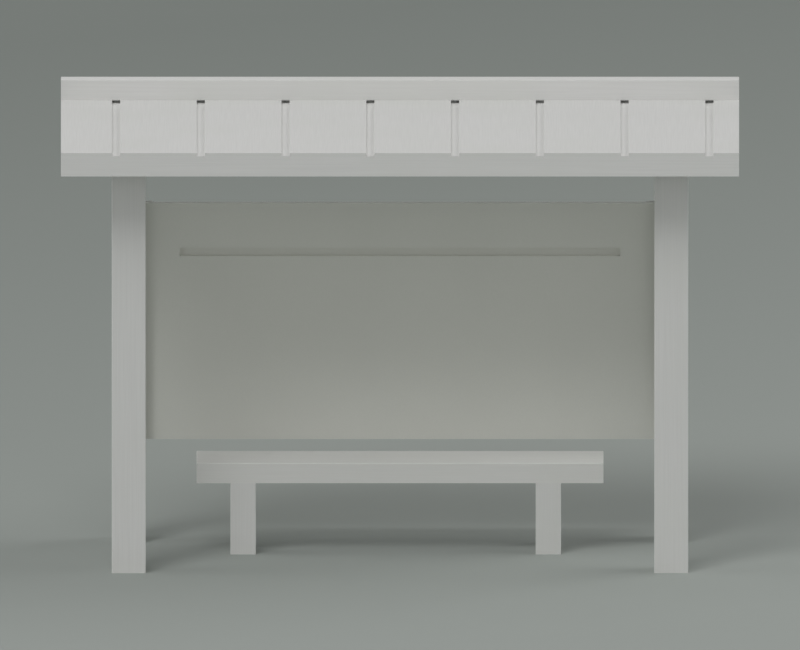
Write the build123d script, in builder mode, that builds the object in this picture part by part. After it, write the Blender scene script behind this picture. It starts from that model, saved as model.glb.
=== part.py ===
# Bus shelter: a painted timber frame with a flat roof, a back panel and a bench.
#
# Everything is in millimetres with +Z up. The origin is on the ground, in the middle of the roof's
# outline. The open front faces -Y and the back panel closes the rear bay at +Y.

from build123d import *

import os

# ---- Driving dimensions -------------------------------------------------------------------------

# Posts
clear_height = 2435.0        # ground to the underside of the roof frame
bay_width = 3000.0           # clear width between the left and the right posts
post_side = 200.0            # square section
post_row_spacing = 1040.0    # front row to rear row, centre to centre

# Roof frame, from the underside up: beams, rafters, deck, boards
side_overhang = 300.0        # roof's end past the outer face of the posts
front_overhang = 335.0       # the same in front of the front posts and behind the rear ones
beam_height = 60.0
rafter_height = 45.0
rafter_width = 60.0
deck_thickness = 15.0
board_thickness = 20.0
fascia_thickness = 20.0

# Drainage grooves left between the roof boards
groove_width = 48.0
groove_pitch = 500.0
first_groove = 325.0         # roof's left end to the centre line of the first groove

# Kerb along the rear edge of the roof
upstand_thickness = 110.0
upstand_height = 121.0

# Back panel between the rear posts
panel_bottom = 607.0         # ground to the panel's lower edge
panel_drop = 417.0           # underside of the roof frame down to the panel's top edge
panel_thickness = 50.0
batten_side = 40.0
recess_end = 200.0           # end of the panel to the end of the recess
recess_drop = 266.0          # panel's top edge down to the recess
recess_height = 49.0
recess_depth = 32.0

# Bench
seat_end_gap = 300.0         # inner face of a post to the end of the seat
seat_gap = 63.0              # seat's rear edge to the back panel
seat_depth = 418.0
seat_thickness = 120.0
seat_height = 547.0          # ground to the top of the seat
leg_side = 150.0             # square section
leg_inset_left = 200.0       # seat's left end to the left legs
leg_inset_right = 250.0      # seat's right end to the right legs

# Eased edge of every sawn piece
arris = 3.0

# ---- Places worked out from them ----------------------------------------------------------------

post_x = (bay_width + post_side) / 2
post_y = post_row_spacing / 2

right_end = bay_width / 2 + post_side + side_overhang
rear_edge = post_y + post_side / 2 + front_overhang
roof_length = 2 * right_end
roof_depth = 2 * rear_edge
frame_length = roof_length - 2 * fascia_thickness
frame_depth = roof_depth - 2 * fascia_thickness

rafter_base = clear_height + beam_height
deck_base = rafter_base + rafter_height
board_base = deck_base + deck_thickness
roof_top = board_base + board_thickness
fascia_height = board_base - clear_height

groove_count = 1 + int((roof_length - first_groove - groove_width) // groove_pitch)
groove_x = [first_groove - right_end + groove_pitch * i for i in range(groove_count)]

panel_y = post_y
panel_front = panel_y - panel_thickness / 2
panel_rear = panel_y + panel_thickness / 2
panel_top = clear_height - panel_drop
panel_height = panel_top - panel_bottom
recess_length = bay_width - 2 * recess_end
recess_z = panel_top - recess_drop - recess_height / 2

seat_length = bay_width - 2 * seat_end_gap
seat_y = panel_front - seat_gap - seat_depth / 2
leg_height = seat_height - seat_thickness
left_leg_x = (leg_side - seat_length) / 2 + leg_inset_left
right_leg_x = (seat_length - leg_side) / 2 - leg_inset_right
front_leg_y = seat_y - (seat_depth - leg_side) / 2
rear_leg_y = seat_y + (seat_depth - leg_side) / 2

os.makedirs("parts", exist_ok=True)


def save(piece, name):
    """Label a finished piece and write it as its own STEP file."""
    piece.part.label = name
    export_step(piece.part, f"parts/{name}.step")


# ---- Posts --------------------------------------------------------------------------------------

post_places = {
    "front_left_post": (-post_x, -post_y),
    "front_right_post": (post_x, -post_y),
    "rear_left_post": (-post_x, post_y),
    "rear_right_post": (post_x, post_y),
}
for name, place in post_places.items():
    with BuildPart() as post:
        with BuildSketch(Plane.XY):
            with Locations(place):
                Rectangle(post_side, post_side)
        extrude(amount=clear_height)
        chamfer(post.edges().filter_by(Axis.Z), length=arris)
    save(post, name)

# ---- Head beams, one along each row of posts ----------------------------------------------------

for name, y in {"front_head_beam": -post_y, "rear_head_beam": post_y}.items():
    with BuildPart() as beam:
        with BuildSketch(Plane.XY.offset(clear_height)):
            with Locations((0, y)):
                Rectangle(frame_length, post_side)
        extrude(amount=beam_height)
    save(beam, name)

# ---- Rafters, one under each groove, lying across both head beams -------------------------------

for number, x in enumerate(groove_x, start=1):
    with BuildPart() as rafter:
        with BuildSketch(Plane.XY.offset(rafter_base)):
            with Locations((x, 0)):
                Rectangle(rafter_width, frame_depth)
        extrude(amount=rafter_height)
    save(rafter, f"rafter_{number}")

# ---- Fascia boards round the frame --------------------------------------------------------------

fascia_x = right_end - fascia_thickness / 2
fascia_y = rear_edge - fascia_thickness / 2
for name, y in {"front_fascia": -fascia_y, "rear_fascia": fascia_y}.items():
    with BuildPart() as fascia:
        with BuildSketch(Plane.XY.offset(clear_height)):
            with Locations((0, y)):
                Rectangle(roof_length, fascia_thickness)
        extrude(amount=fascia_height)
    save(fascia, name)

for name, x in {"left_fascia": -fascia_x, "right_fascia": fascia_x}.items():
    with BuildPart() as fascia:
        with BuildSketch(Plane.XY.offset(clear_height)):
            with Locations((x, 0)):
                Rectangle(fascia_thickness, frame_depth)
        extrude(amount=fascia_height)
    save(fascia, name)

# ---- Deck, whose top is the floor of the grooves ------------------------------------------------

with BuildPart() as deck:
    with BuildSketch(Plane.XY.offset(deck_base)):
        Rectangle(frame_length, frame_depth)
    extrude(amount=deck_thickness)
save(deck, "roof_deck")

# ---- Roof boards, laid front to rear with a groove between each pair ----------------------------

board_edges = [-right_end]
for x in groove_x:
    board_edges += [x - groove_width / 2, x + groove_width / 2]
board_edges.append(right_end)

for number in range(1, groove_count + 2):
    left, right = board_edges[2 * number - 2:2 * number]
    with BuildPart() as board:
        with BuildSketch(Plane.XY.offset(board_base)):
            with Locations(((left + right) / 2, 0)):
                Rectangle(right - left, roof_depth)
        extrude(amount=board_thickness)
    save(board, f"roof_board_{number}")

# ---- Kerb across the boards at the rear ---------------------------------------------------------

with BuildPart() as upstand:
    with BuildSketch(Plane.XY.offset(roof_top)):
        with Locations((0, rear_edge - upstand_thickness / 2)):
            Rectangle(roof_length, upstand_thickness)
    extrude(amount=upstand_height)
    chamfer(upstand.faces().sort_by(Axis.Z)[-1].edges(), length=arris)
save(upstand, "rear_upstand")

# ---- Back panel, with a long blind recess routed in its front face ------------------------------

with BuildPart() as panel:
    with BuildSketch(Plane.XY.offset(panel_bottom)):
        with Locations((0, panel_y)):
            Rectangle(bay_width, panel_thickness)
    extrude(amount=panel_height)
    with BuildSketch(Plane.XZ.offset(-panel_front)):
        with Locations((0, recess_z)):
            Rectangle(recess_length, recess_height)
    extrude(amount=-recess_depth, mode=Mode.SUBTRACT)
save(panel, "back_panel")

# ---- Battens that hold the panel to the rear posts, behind it -----------------------------------

batten_x = (bay_width - batten_side) / 2
for name, x in {"left_batten": -batten_x, "right_batten": batten_x}.items():
    with BuildPart() as batten:
        with BuildSketch(Plane.XY.offset(panel_bottom)):
            with Locations((x, panel_rear + batten_side / 2)):
                Rectangle(batten_side, batten_side)
        extrude(amount=panel_height)
    save(batten, name)

# ---- Bench: a thick seat on four legs that are flush with its front and rear ---------------------

with BuildPart() as seat:
    with BuildSketch(Plane.XY.offset(leg_height)):
        with Locations((0, seat_y)):
            Rectangle(seat_length, seat_depth)
    extrude(amount=seat_thickness)
    chamfer(seat.faces().sort_by(Axis.Z)[-1].edges(), length=arris)
save(seat, "bench_seat")

leg_places = {
    "bench_leg_front_left": (left_leg_x, front_leg_y),
    "bench_leg_front_right": (right_leg_x, front_leg_y),
    "bench_leg_rear_left": (left_leg_x, rear_leg_y),
    "bench_leg_rear_right": (right_leg_x, rear_leg_y),
}
for name, place in leg_places.items():
    with BuildPart() as leg:
        with BuildSketch(Plane.XY):
            with Locations(place):
                Rectangle(leg_side, leg_side)
        extrude(amount=leg_height)
        chamfer(leg.edges().filter_by(Axis.Z), length=arris)
    save(leg, name)
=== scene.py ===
# %% [markdown]
# # A bus shelter in painted timber
#
# The shelter is a carpenter's frame: four square posts, a flat boarded roof, a panel that closes
# the rear bay, and a long bench. The joinery was drawn in the CAD model, and every piece of it is
# already the right shape. What is left for Blender is the paint, the floor and the light.
#
# The whole shelter is painted a pale grey, so the eye reads it by light and shade alone. That
# makes the finish harder than it sounds. A flat grey would look like plastic, while real paint on
# timber keeps the brush marks, a little of the grain, and a rubbed line on each edge.

# %% Load the joinery
import math

import bmesh
import bpy
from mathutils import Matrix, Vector


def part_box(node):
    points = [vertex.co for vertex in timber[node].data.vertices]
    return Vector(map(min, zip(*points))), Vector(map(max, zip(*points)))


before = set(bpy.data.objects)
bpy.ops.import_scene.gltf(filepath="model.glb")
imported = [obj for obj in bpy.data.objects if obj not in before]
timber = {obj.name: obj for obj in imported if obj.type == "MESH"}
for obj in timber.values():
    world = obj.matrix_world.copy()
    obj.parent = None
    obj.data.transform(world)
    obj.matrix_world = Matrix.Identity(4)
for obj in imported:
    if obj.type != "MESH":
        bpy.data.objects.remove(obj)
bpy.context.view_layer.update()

print("pieces of timber:", len(timber))

# %% [markdown]
# ## The camera
#
# A wide low building can be shown in perspective, where the far end shrinks, or with parallel
# lines, as on a drawing. Here the lines stay parallel, so a post at the back is as wide as a post
# at the front and the proportions can be read straight off the view. An orthographic camera
# does that. It looks down by ten degrees, just enough to show the top of the roof and the seat.
#
# An orthographic camera has no focal length. Its scale is the width of the view in metres. It is
# aimed at the middle of the shelter, a little over half way up, and its distance only has to keep
# it clear of the roof. It sees as far as 200 metres, which is well past the edge of the floor.

# %% Place the camera
view_width = 4.719
look_down = math.radians(10)
stand_off = 15.0
aim_height = 1.377
furthest_seen = 200

camera_data = bpy.data.cameras.new("shelter_camera")
camera_data.type = "ORTHO"
camera_data.ortho_scale = view_width
camera_data.clip_end = furthest_seen
camera = bpy.data.objects.new("shelter_camera", camera_data)
bpy.context.collection.objects.link(camera)
camera_height = aim_height + stand_off * math.sin(look_down)
camera.location = (0, -stand_off * math.cos(look_down), camera_height)
camera.rotation_euler = (math.radians(90) - look_down, 0, 0)
bpy.context.scene.camera = camera
bpy.context.scene.view_settings.view_transform = "Standard"
print("view width, m:", view_width, "looking down, degrees:", round(math.degrees(look_down)))

# %% [markdown]
# ## Colours and nodes
#
# Paint charts give colours as sRGB, the way a screen shows them. Blender's shaders work with
# linear light, so each colour is turned to linear once, here, and stays readable everywhere else.
#
# A material is a small network of nodes. Writing one line for each node, with its settings and
# what is plugged into it, keeps the network in the order in which it works.

# %% Helpers for colours and nodes
def linear(hex_colour):
    """An sRGB hex colour as the linear RGBA that a shader wants."""
    channels = [int(hex_colour[i:i + 2], 16) / 255 for i in (1, 3, 5)]
    return [c / 12.92 if c <= 0.04045 else ((c + 0.055) / 1.055) ** 2.4 for c in channels] + [1]


def add(material, kind, plugs=None, **settings):
    """Adds one node: settings are its own options, plugs are values or outputs for its sockets."""
    tree = material.node_tree
    node = tree.nodes.new(kind)
    for name, value in settings.items():
        setattr(node, name, value)
    for socket, value in (plugs or {}).items():
        if isinstance(value, bpy.types.NodeSocket):
            tree.links.new(value, node.inputs[socket])
        else:
            node.inputs[socket].default_value = value
    return node


def new_material(name):
    """An empty material, ready for its nodes."""
    material = bpy.data.materials.new(name)
    material.use_nodes = True
    material.node_tree.nodes.clear()
    return material


print("mid grey, linear:", [round(c, 3) for c in linear("#808080")])

# %% [markdown]
# ## The coats
#
# Everything has the same exterior acrylic wood paint, but the pieces are not all given the same
# grey. The bench seat's coat is a shade paler than the frame's: painted light, which brightens the
# seat where it sits under the roof. The back panel's coat is a touch greener and warmer: a painted
# tint of the light that the floor bounces into its shade. The deck, which only shows in the grooves
# between the roof boards, has the palest coat: painted light in the grooves, which lie in shade.
#
# Each coat is three close greys: the film itself, the furrows where the film is thin, and the
# soft clouds that weather into it. One flat colour would be simpler, but the eye takes an even
# tone on a four metre roof for plastic. Four more tints lie over the coats: a pale line on each
# arris, which is rubbed primer and also painted highlight; a darker band at the feet, which is rain
# splash and also painted shade near the floor; the end grain that drinks the paint and dulls it;
# and the pale coat that seals the cut edges of plywood, which is also painted light on edges that
# lie in shade.
#
# Tints are laid over one another with Mix nodes. A Mix node has sockets called A and B for numbers,
# for vectors and for colours, so a name alone doesn't say which, and they are picked by number.

# %% The greys
frame_coat = {"film": "#D6D6D4", "furrow": "#CFCFCD", "cloud": "#D1D2CE"}
# The seat's coat is a shade paler than the frame's: painted light on the seat.
seat_coat_painted_lighter = {"film": "#D9D9D6", "furrow": "#D2D2CF", "cloud": "#D4D5D0"}
# The panel's greener, warmer tint is a painted tint of the light bounced into its shade.
panel_coat_shade_tinted = {"film": "#D7D8D1", "furrow": "#D0D1CA", "cloud": "#D2D3CC"}
# The deck's palest coat is painted light in the shaded grooves between the roof boards.
deck_coat_painted_lighter = {"film": "#E5E5E3", "furrow": "#DEDEDC", "cloud": "#E0E0DD"}
# Pale on every arris: rubbed primer and painted highlight together.
primer_and_painted_highlight = "#DFDFDA"
# Darker near the floor: rain splash, and also painted shade where the pieces meet the floor.
splash_and_low_shade = "#C9C9C2"
end_grain = "#C6C7C2"
# A sealing coat on plywood cut edges, made very pale as painted light on edges in shade.
sealed_edge_painted_light = "#EFEFEA"
mix_amount, colour_under, colour_over, mixed_colour = 0, 6, 7, 2


def lay_coats(paint, film, layers):
    """The film's colour with more tints laid over it in turn, each by an amount from 0 to 1."""
    colour = linear(film)
    for amount, tint in layers:
        mix = add(paint, "ShaderNodeMix",
                  {mix_amount: amount, colour_under: colour, colour_over: linear(tint)},
                  data_type="RGBA")
        colour = mix.outputs[mixed_colour]
    return colour


print("greys of the frame's coat:", frame_coat)

# %% [markdown]
# ## Where the paint wears and the edges catch the light
#
# Hands, bags and brooms rub the paint off an arris first, and an arris also catches the light. So
# each arris gets a pale line, which is rubbed primer and painted highlight together. The material
# has to know where one is. It could be painted by hand on each piece, or each piece could get
# coordinates of its own. The Bevel node is simpler: it returns the normal that the surface would
# have if its edges were rounded to a radius. On a flat face that is the true normal, and near an
# edge it leans away. The dot product of the two is 1 on the flat and falls to 0.75 where the pale
# line is at its fullest.
#
# End grain and cut plywood edges are easier to find. A board's end is a face that looks along its
# grain, and a sheet's edge is a face that looks across its thickness, so one part of the face's
# own normal tells them apart.

# %% Find the edges and the ends
rubbed_and_lit_radius = 0.004
rubbed_and_lit_share = 0.2
full_lean = 0.75
edge_rays = 6


def rubbed_and_lit_arris(paint):
    """How much pale primer and painted highlight: most on an arris, none a few mm from it."""
    rounded = add(paint, "ShaderNodeBevel", {"Radius": rubbed_and_lit_radius}, samples=edge_rays)
    true = add(paint, "ShaderNodeNewGeometry")
    lean = add(paint, "ShaderNodeVectorMath",
               {0: rounded.outputs["Normal"], 1: true.outputs["True Normal"]},
               operation="DOT_PRODUCT")
    mask = add(paint, "ShaderNodeMapRange",
               {"Value": lean.outputs["Value"], "From Min": 1.0, "From Max": full_lean,
                "To Min": 0.0, "To Max": 1.0})
    # The pale arris line is worn primer and a painted highlight at once.
    rubbed_and_lit = add(paint, "ShaderNodeMath", {0: mask.outputs["Result"], 1: rubbed_and_lit_share},
                 operation="MULTIPLY")
    return rubbed_and_lit.outputs["Value"]


def facing(paint, axis):
    """How squarely a face looks along an axis: 1 straight along it, either way, 0 across it."""
    normal = add(paint, "ShaderNodeNewGeometry").outputs["True Normal"]
    parts = add(paint, "ShaderNodeSeparateXYZ", {"Vector": normal})
    either_way = add(paint, "ShaderNodeMath", {0: parts.outputs[axis]}, operation="ABSOLUTE")
    return either_way.outputs["Value"]


# The pale arris line, rubbed primer and painted highlight, reaches this far in.
print("primer shows within, mm:", 1000 * rubbed_and_lit_radius)

# %% [markdown]
# ## The film itself
#
# Exterior wood paint is an acrylic film. Its index of refraction is about 1.47 and it isn't
# metallic, so one Principled shader with those two values serves every coat, and only colour,
# roughness and relief differ. The relief goes through a Bump node, because brush marks are a few
# tenths of a millimetre deep, far too shallow to be worth real geometry.

# %% The acrylic film
acrylic_ior = 1.47
relief_strength = 0.6


def acrylic_film(paint, colour, roughness, relief, depth):
    """Finishes a paint: a matt acrylic film with its relief, in metres of depth."""
    bump = add(paint, "ShaderNodeBump",
               {"Strength": relief_strength, "Distance": depth, "Height": relief})
    film = add(paint, "ShaderNodeBsdfPrincipled",
               {"Base Color": colour, "Roughness": roughness, "IOR": acrylic_ior,
                "Metallic": 0.0, "Normal": bump.outputs["Normal"]})
    add(paint, "ShaderNodeOutputMaterial", {"Surface": film.outputs["BSDF"]})
    return paint


print("index of refraction of the film:", acrylic_ior)

# %% [markdown]
# ## Paint on planed softwood
#
# The posts, beams, rafters, fascias, roof boards, kerb, battens, seat and legs are planed softwood
# under two coats, brushed on along each piece. The brush leaves long shallow furrows that follow
# the grain. Under them the hard winter rings stand a little proud, because the soft wood between
# them sinks as it dries.
#
# A scan of painted wood would give all this at once, but it fixes the grain to one size and one
# direction. Noise worked out from real sizes doesn't. The pieces run in three directions, so the
# same recipe is made three times, stretched along X, Y or Z.
#
# Bristles gather in tufts, and the tufts leave furrows 1 to 2 mm apart. That is far finer than
# this view can show, so the furrows are drawn 7 mm apart. On the face of a planed board the growth
# rings are 5 to 15 mm apart, and they are drawn true, at 12 mm. Most of a noise pattern lies
# between 0.3 and 0.7, so each use of one says which span of it is stretched from nothing to full.

# %% What the brush and the grain leave
brush_width, brush_length = 0.007, 0.45
ring_width, ring_length = 0.012, 1.6


def streaks(paint, place, along, width, length, **look):
    """Noise drawn out along the grain: each streak `width` wide and `length` long, in metres."""
    stretch = tuple(1 / length if axis == along else 1 / width for axis in "XYZ")
    grain_place = add(paint, "ShaderNodeVectorMath", {0: place, 1: stretch}, operation="MULTIPLY")
    sockets = {"Vector": grain_place.outputs["Vector"], "Scale": 1.0, **look}
    return add(paint, "ShaderNodeTexNoise", sockets).outputs["Fac"]


print("brush furrows per metre across a board:", round(1 / brush_width))

# %% [markdown]
# The colour is laid down in order: the film and its furrows, the clouds of weather, a darker band
# low down that is rain splash thrown up from the ground and also painted shade near the floor, the
# dull end grain, and last the pale line on the arrises that is rubbed primer and also a painted
# highlight. The clouds are about half a metre across, as damp patches are on a long wall. The
# darker band reaches a little under 200 mm up.

# %% How the softwood is coloured
cloud_size = 0.55
cloud_span, cloud_share = (0.4, 0.7), 0.6
furrow_span, furrow_share = (0.35, 0.65), 0.55
splash_and_shade_height, splash_and_shade_share = 0.18, 0.15
cut_end_from, cut_end_share = 0.7, 0.15


def softwood_colour(paint, place, along, furrows, coat):
    """The coat with furrows, weather and wear, painted shade low down and painted arris highlights.
    """
    thin_film = add(paint, "ShaderNodeMapRange",
                    {"Value": furrows, "From Min": furrow_span[0], "From Max": furrow_span[1],
                     "To Min": 0.0, "To Max": furrow_share})
    clouds = add(paint, "ShaderNodeTexNoise",
                 {"Vector": place, "Scale": 1 / cloud_size, "Detail": 4.0, "Roughness": 0.6})
    weathered = add(paint, "ShaderNodeMapRange",
                    {"Value": clouds.outputs["Fac"], "From Min": cloud_span[0],
                     "From Max": cloud_span[1], "To Min": 0.0, "To Max": cloud_share})
    height = add(paint, "ShaderNodeSeparateXYZ", {"Vector": place}).outputs["Z"]
    # The band at the feet is rain splash and also painted shade near the floor.
    splashed_and_shaded = add(paint, "ShaderNodeMapRange",
                   {"Value": height, "From Min": 0.0, "From Max": splash_and_shade_height,
                    "To Min": splash_and_shade_share, "To Max": 0.0})
    cut_end = add(paint, "ShaderNodeMath", {0: facing(paint, along), 1: cut_end_from},
                  operation="GREATER_THAN")
    soaked = add(paint, "ShaderNodeMath", {0: cut_end.outputs["Value"], 1: cut_end_share},
                 operation="MULTIPLY")
    return lay_coats(paint, coat["film"], [
        (thin_film.outputs["Result"], coat["furrow"]),
        (weathered.outputs["Result"], coat["cloud"]),
        (splashed_and_shaded.outputs["Result"], splash_and_low_shade),
        (soaked.outputs["Value"], end_grain),
        (rubbed_and_lit_arris(paint), primer_and_painted_highlight)])


# The darker band at the feet, rain splash and painted shade, reaches this high.
print("rain splashes up to, mm:", round(1000 * splash_and_shade_height))

# %% [markdown]
# Weathered exterior paint is matt, with a roughness near 0.7. A seat is different: coats and
# trousers polish it, so its roughness is near 0.4 and it has a soft sheen towards the light. The
# brush leaves the film a little thicker and glossier beside each furrow, so the furrows set the
# roughness too. Furrows and rings together are less than half a millimetre deep.

# %% Mix the four softwood paints
frame_sheen, seat_sheen = (0.62, 0.74), (0.36, 0.46)
sheen_span = (0.3, 0.7)
furrow_depth = 0.0004


def painted_softwood(name, along, coat, sheen):
    """Brushed paint over planed softwood whose grain runs along one axis."""
    paint = new_material(name)
    place = add(paint, "ShaderNodeTexCoord").outputs["Object"]
    furrows = streaks(paint, place, along, brush_width, brush_length, Detail=3.0, Roughness=0.55)
    rings = streaks(paint, place, along, ring_width, ring_length,
                    Detail=2.0, Roughness=0.4, Distortion=0.6)
    roughness = add(paint, "ShaderNodeMapRange",
                    {"Value": furrows, "From Min": sheen_span[0], "From Max": sheen_span[1],
                     "To Min": sheen[0], "To Max": sheen[1]})
    relief = add(paint, "ShaderNodeMath", {0: furrows, 1: rings}, operation="ADD")
    colour = softwood_colour(paint, place, along, furrows, coat)
    return acrylic_film(paint, colour, roughness.outputs["Result"], relief.outputs["Value"],
                        furrow_depth)


softwood_along = {axis: painted_softwood("painted_softwood_along_" + axis.lower(), axis,
                                         frame_coat, frame_sheen) for axis in "XYZ"}
# The seat's paler coat is painted light.
seat_softwood = painted_softwood("painted_softwood_seat", "X", seat_coat_painted_lighter, seat_sheen)
print("softwood finishes:", [m.name for m in softwood_along.values()], seat_softwood.name)

# %% [markdown]
# ## Paint on plywood
#
# The back panel and the deck are sheets, not boards. Exterior plywood is sanded smooth, and such a
# large flat sheet is painted with a short-pile roller. The roller leaves a fine stipple, like the
# skin of an orange, with no direction to it, so its noise isn't stretched. The real stipple is 1
# to 2 mm across, and it is drawn 6 mm across so that it shows at this distance.
#
# The glued layers are bare at a sheet's cut edges and would soak up rain. So a carpenter seals
# every cut, the sides of the panel's long recess too, with an extra coat. That coat is painted very
# pale, which is also painted light: it brightens the panel's top edge and the sides of the recess,
# which lie in shade under the roof.

# %% Painted plywood
stipple_size, stipple_depth = 0.006, 0.0003
stipple_span, stipple_share = (0.35, 0.65), 0.3
sheet_cloud_share = 0.5
cut_edge_below = 0.5
sheet_sheen = (0.64, 0.72)


def painted_plywood(name, coat, flat):
    """Rolled paint on a sheet facing along one axis; its cut edges sealed pale, as painted light.
    """
    paint = new_material(name)
    place = add(paint, "ShaderNodeTexCoord").outputs["Object"]
    stipple = add(paint, "ShaderNodeTexNoise",
                  {"Vector": place, "Scale": 1 / stipple_size, "Detail": 2.0, "Roughness": 0.5})
    clouds = add(paint, "ShaderNodeTexNoise",
                 {"Vector": place, "Scale": 1 / cloud_size, "Detail": 3.0, "Roughness": 0.55})

    thin_film = add(paint, "ShaderNodeMapRange",
                    {"Value": stipple.outputs["Fac"], "From Min": stipple_span[0],
                     "From Max": stipple_span[1], "To Min": 0.0, "To Max": stipple_share})
    weathered = add(paint, "ShaderNodeMapRange",
                    {"Value": clouds.outputs["Fac"], "From Min": cloud_span[0],
                     "From Max": cloud_span[1], "To Min": 0.0, "To Max": sheet_cloud_share})
    cut_edge = add(paint, "ShaderNodeMath", {0: facing(paint, flat), 1: cut_edge_below},
                   operation="LESS_THAN")

    colour = lay_coats(paint, coat["film"], [
        (thin_film.outputs["Result"], coat["furrow"]),
        (weathered.outputs["Result"], coat["cloud"]),
        # Cut edges get the pale sealing coat: sealer and painted light together.
        (cut_edge.outputs["Value"], sealed_edge_painted_light),
        (rubbed_and_lit_arris(paint), primer_and_painted_highlight)])
    roughness = add(paint, "ShaderNodeMapRange",
                    {"Value": stipple.outputs["Fac"], "From Min": sheen_span[0],
                     "From Max": sheen_span[1], "To Min": sheet_sheen[0],
                     "To Max": sheet_sheen[1]})
    return acrylic_film(paint, colour, roughness.outputs["Result"], stipple.outputs["Fac"],
                        stipple_depth)


# The panel's tint is a painted tint of its shade; the deck's pale coat is painted light in the
# grooves.
plywood = {"back_panel": painted_plywood("painted_plywood_panel", panel_coat_shade_tinted, "Y"),
           "roof_deck": painted_plywood("painted_plywood_deck", deck_coat_painted_lighter, "Z")}
print("plywood finishes:", [m.name for m in plywood.values()])

# %% [markdown]
# ## Which piece is cut from what
#
# A carpenter cuts a piece so that its grain runs along it, because timber is strong that way and
# end grain on a long face would soak up rain. So the direction of each finish follows from the
# piece's own shape, and its longest side gives it. The seat and the two sheets have their own.

# %% Paint every piece
own_finish = {"bench_seat": seat_softwood, **plywood}
painted = {}
for name, piece in timber.items():
    low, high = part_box(name)
    longest = max(range(3), key=lambda axis: high[axis] - low[axis])
    finish = own_finish.get(name, softwood_along["XYZ"[longest]])
    piece.data.materials.clear()
    piece.data.materials.append(finish)
    painted.setdefault(finish.name, []).append(name)
for finish_name, names in painted.items():
    print(finish_name, len(names))

# %% [markdown]
# ## The floor
#
# The shelter stands on a plain studio floor, so that nothing competes with it. The floor is one
# large flat sheet, much larger than the view. It carries the shadows, which are what make the
# shelter stand on it.
#
# The floor could be a Plane from Blender's menu. A mesh of four corners says the same thing in
# code, and its size can be read in metres.

# %% Lay the floor
floor_half = 60.0

corners = bmesh.new()
around = [corners.verts.new((x * floor_half, y * floor_half, 0))
          for x, y in ((-1, -1), (1, -1), (1, 1), (-1, 1))]
corners.faces.new(around)
floor_mesh = bpy.data.meshes.new("studio_floor")
corners.to_mesh(floor_mesh)
corners.free()
studio_floor = bpy.data.objects.new("studio_floor", floor_mesh)
bpy.context.collection.objects.link(studio_floor)
print("floor, m:", [round(side) for side in studio_floor.dimensions])

# %% [markdown]
# Floor paint is quite matt, so a Diffuse shader is enough for it. A lit floor darkens where it
# runs away from the lamps, so a second, darker grey comes in with the distance, measured to the
# rear and a little to the left, over some twenty metres. A trace of mottling keeps the floor from
# looking like empty space.

# %% Paint the floor
floor_near, floor_far, floor_mottle = "#A1A6A2", "#828783", "#6E736F"
away = (-0.6, 1, 0)
near_line, far_line = -3.0, 18.6
mottles_per_metre, mottle_share = 3.0, 0.02

floor_paint = new_material("matt_floor_paint")
floor_place = add(floor_paint, "ShaderNodeTexCoord").outputs["Object"]
distance = add(floor_paint, "ShaderNodeVectorMath", {0: floor_place, 1: away},
               operation="DOT_PRODUCT")
far_amount = add(floor_paint, "ShaderNodeMapRange",
                 {"Value": distance.outputs["Value"], "From Min": near_line, "From Max": far_line})
mottling = add(floor_paint, "ShaderNodeTexNoise",
               {"Vector": floor_place, "Scale": mottles_per_metre, "Detail": 5.0})
mottled = add(floor_paint, "ShaderNodeMapRange",
              {"Value": mottling.outputs["Fac"], "To Max": mottle_share})
floor_colour = lay_coats(floor_paint, floor_near, [
    (far_amount.outputs["Result"], floor_far),
    (mottled.outputs["Result"], floor_mottle)])
floor_shader = add(floor_paint, "ShaderNodeBsdfDiffuse", {"Color": floor_colour})
add(floor_paint, "ShaderNodeOutputMaterial", {"Surface": floor_shader.outputs["BSDF"]})
floor_mesh.materials.append(floor_paint)
print("floor greys, near to far:", floor_near, floor_far)

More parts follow.
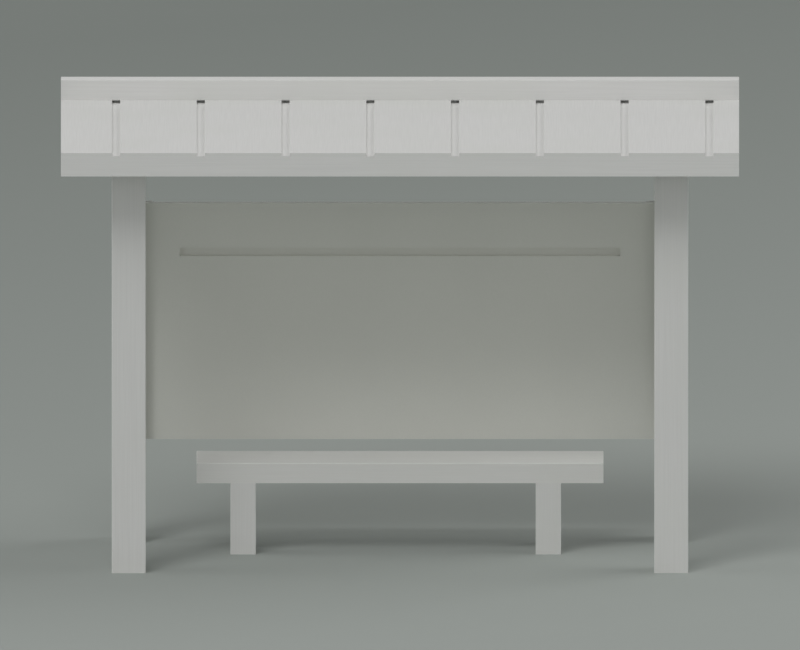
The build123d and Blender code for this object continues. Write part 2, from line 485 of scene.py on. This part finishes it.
# %% [markdown]
# ## The light
#
# Product studios light a large pale object with very large softboxes, so that shadows have wide
# soft edges and no face burns out. The main one stands to the front left, well above the roof. A
# smaller, lower one on the same side reaches in under the roof. A very wide one at the right end,
# slightly behind it, and a lower one at the left end light the ends of the shelter and draw its
# edges.
#
# Sun lamps stand in for the softboxes: their rays are parallel, so both ends of the shelter get
# the same light, and their angle sets how large the softbox looks.

# %% Hang the softboxes
def softbox(name, azimuth, elevation, strength, spread):
    """A distant softbox, with azimuth left of the front, elevation and spread in degrees."""
    lamp = bpy.data.lights.new(name, "SUN")
    lamp.energy = strength
    lamp.angle = math.radians(spread)
    holder = bpy.data.objects.new(name, lamp)
    bpy.context.collection.objects.link(holder)
    turn, rise = math.radians(azimuth), math.radians(elevation)
    towards = Vector((-math.sin(turn) * math.cos(rise), -math.cos(turn) * math.cos(rise),
                      math.sin(rise)))
    holder.rotation_euler = towards.to_track_quat("Z", "Y").to_euler()
    return holder


softboxes = [softbox("main_softbox", 20, 55, 0.77, 30),
             softbox("low_front_softbox", 35, 43, 0.32, 20),
             softbox("right_softbox", -100, 35, 0.87, 50),
             softbox("left_softbox", 90, 20, 0.51, 30)]
print("softboxes:", [holder.name for holder in softboxes])

# %% [markdown]
# Pale walls all round do the rest. A world of one strength would light the shelter from above as
# much as from the sides, but a studio's ceiling is darker than its walls. So the world is nearly
# white at the foot of the walls and fades to less than a third of that by 27 degrees up, where
# the direction's Z is 0.45.

# %% Put pale walls round it
wall_foot, wall_top = 0.99, 0.29
top_of_walls = 0.45

walls = bpy.data.worlds.new("pale_studio_walls")
walls.use_nodes = True
walls.node_tree.nodes.clear()
direction = add(walls, "ShaderNodeTexCoord").outputs["Generated"]
height_up_wall = add(walls, "ShaderNodeSeparateXYZ", {"Vector": direction}).outputs["Z"]
wall_light = add(walls, "ShaderNodeMapRange",
                 {"Value": height_up_wall, "From Min": 0.0, "From Max": top_of_walls,
                  "To Min": wall_foot, "To Max": wall_top})
wall_glow = add(walls, "ShaderNodeBackground",
                {"Color": (1, 1, 1, 1), "Strength": wall_light.outputs["Result"]})
add(walls, "ShaderNodeOutputWorld", {"Surface": wall_glow.outputs["Background"]})
bpy.context.scene.world = walls
print("walls, from foot to top:", wall_foot, wall_top)
